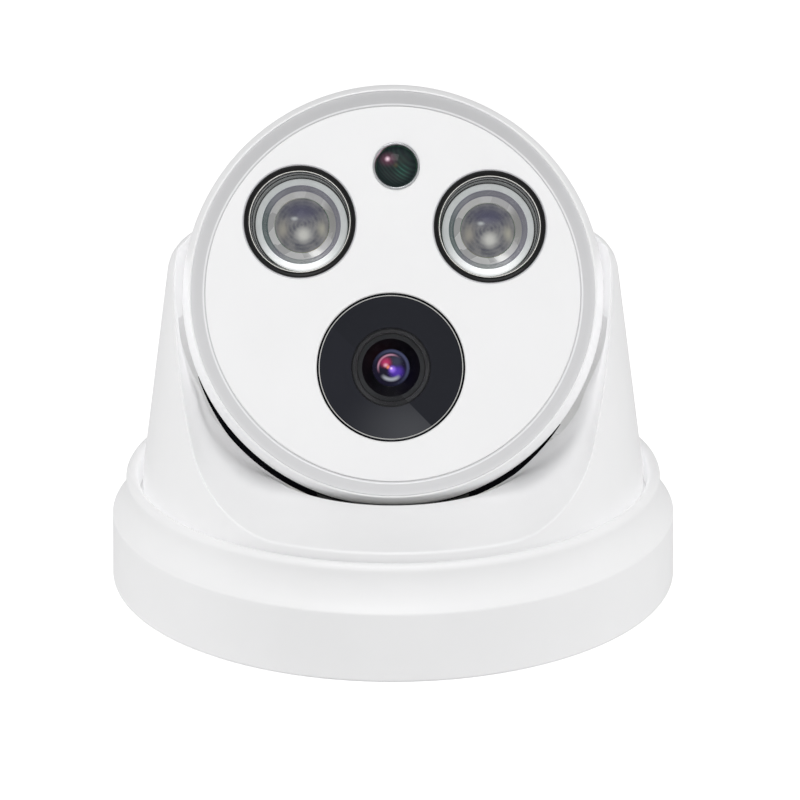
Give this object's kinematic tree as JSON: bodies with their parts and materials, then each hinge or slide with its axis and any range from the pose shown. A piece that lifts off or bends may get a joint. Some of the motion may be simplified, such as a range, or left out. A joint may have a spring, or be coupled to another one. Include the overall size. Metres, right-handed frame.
{
  "type": "dome cctv camera",
  "caption": "Round-based turret camera: a ball-shaped head with a lens window and infrared lamps tilts in a conical housing that turns on a mounting base.",
  "frame": {"origin": "centre of the base's mounting face, which is also the bottom centre of the bounding box", "axes": "+Z away from the mounting face, through the turret's turning axis; -Y is the front, where the lens looks out; +X is to the right seen from the front"},
  "size_m": [0.11, 0.11, 0.095],
  "materials": {
    "shell_white": "satin white moulded plastic",
    "chassis_plastic": "plain off-white moulded plastic",
    "foam": "closed-cell foam",
    "rubber_black": "soft black rubber",
    "steel": "zinc-plated steel",
    "bezel_grey": "light grey painted plastic",
    "window_glass": "flat dark glass with a polished edge",
    "plastic_black": "black moulded plastic",
    "lamp_clear": "clear moulded lens",
    "collar_frosted": "frosted translucent plastic",
    "reflector_silver": "bright metal plating",
    "lamp_chip": "gold-plated carrier with pale dies",
    "eye_glass": "dark coated glass",
    "cell_ceramic": "ceramic disc with a sensing track",
    "board_green": "green solder mask over glass-fibre board",
    "aluminium_bare": "bare aluminium",
    "sensor_chip": "glass-topped sensor package",
    "copper_coil": "wound enamelled wire",
    "chip_black": "moulded chip package",
    "socket_ivory": "ivory nylon",
    "ribbon_white": "flat flexible cable",
    "barrel_black": "black anodised aluminium",
    "objective_glass": "coated optical glass",
    "cut_glass": "infrared-cut glass",
    "clear_glass": "plain optical glass"
  },
  "bodies": {
    "base": {"base_ring": "shell_white", "base_plate": "chassis_plastic", "pan_rail": "chassis_plastic", "base_gasket": "foam", "cable_grommet": "rubber_black", "pan_ring": "chassis_plastic", "base_screws": "steel", "side_plug": "shell_white", "lock_screw": "steel"},
    "turret": {"turret_housing": "shell_white", "ball_cradle": "chassis_plastic", "seat_pad": "rubber_black", "cradle_screws": "steel"},
    "ball": {"rear_shell": "shell_white", "ball_seal": "rubber_black", "ball_grommet": "rubber_black"},
    "head": {"front_shell": "shell_white", "bezel_ring": "bezel_grey", "face_plate": "shell_white", "lens_window": "window_glass", "window_gasket": "rubber_black", "lens_hood": "plastic_black", "lamp_holder_left": "plastic_black", "lamp_holder_right": "plastic_black", "lamp_lens_left": "lamp_clear", "lamp_lens_right": "lamp_clear", "lamp_collar_left": "collar_frosted", "lamp_collar_right": "collar_frosted", "lamp_reflector_left": "reflector_silver", "lamp_reflector_right": "reflector_silver", "lamp_array_left": "lamp_chip", "lamp_array_right": "lamp_chip", "lamp_dome_left": "lamp_clear", "lamp_dome_right": "lamp_clear", "eye_ring": "reflector_silver", "eye_dome": "eye_glass", "eye_cell": "cell_ceramic", "face_posts": "shell_white", "lamp_board": "board_green", "heatsink": "aluminium_bare", "lamp_screws": "steel", "board_posts": "steel", "sensor_board": "board_green", "image_sensor": "sensor_chip", "lens_holder": "plastic_black", "filter_coil": "copper_coil", "main_posts": "steel", "main_board": "board_green", "board_chips": "chip_black", "board_sockets": "socket_ivory", "ribbon_cable": "ribbon_white", "main_screws": "steel"},
    "lens": {"lens_barrel": "barrel_black", "lens_glass": "objective_glass", "rear_element": "objective_glass", "lens_lock_ring": "barrel_black"},
    "filter": {"filter_frame": "plastic_black", "cut_filter": "cut_glass", "clear_filter": "clear_glass"}
  },
  "joints": [
    {"name": "pan_turn", "type": "hinge", "parent": "base", "child": "turret", "pos_m": [0, 0, 0.01], "axis": [0, 0, 1], "range_deg": [-175, 175]},
    {"name": "ball_tilt", "type": "hinge", "parent": "turret", "child": "ball", "pos_m": [0, 0, 0.055], "axis": [-1, 0, 0], "range_deg": [-19.5, 55]},
    {"name": "face_roll", "type": "hinge", "parent": "ball", "child": "head", "pos_m": [0, 0, 0.055], "axis": [0, -0.9426, 0.3338], "range_deg": [-175, 175]},
    {"name": "focus_turn", "type": "hinge", "parent": "head", "child": "lens", "pos_m": [-0.00036, -0.00457, 0.04209], "axis": [0, -0.9426, 0.3338], "range_deg": [-30, 30]},
    {"name": "filter_shift", "type": "slide", "parent": "head", "child": "filter", "axis": [0.9997, -0.0087, -0.0247], "range_m": [0, 0.0066]}
  ]
}
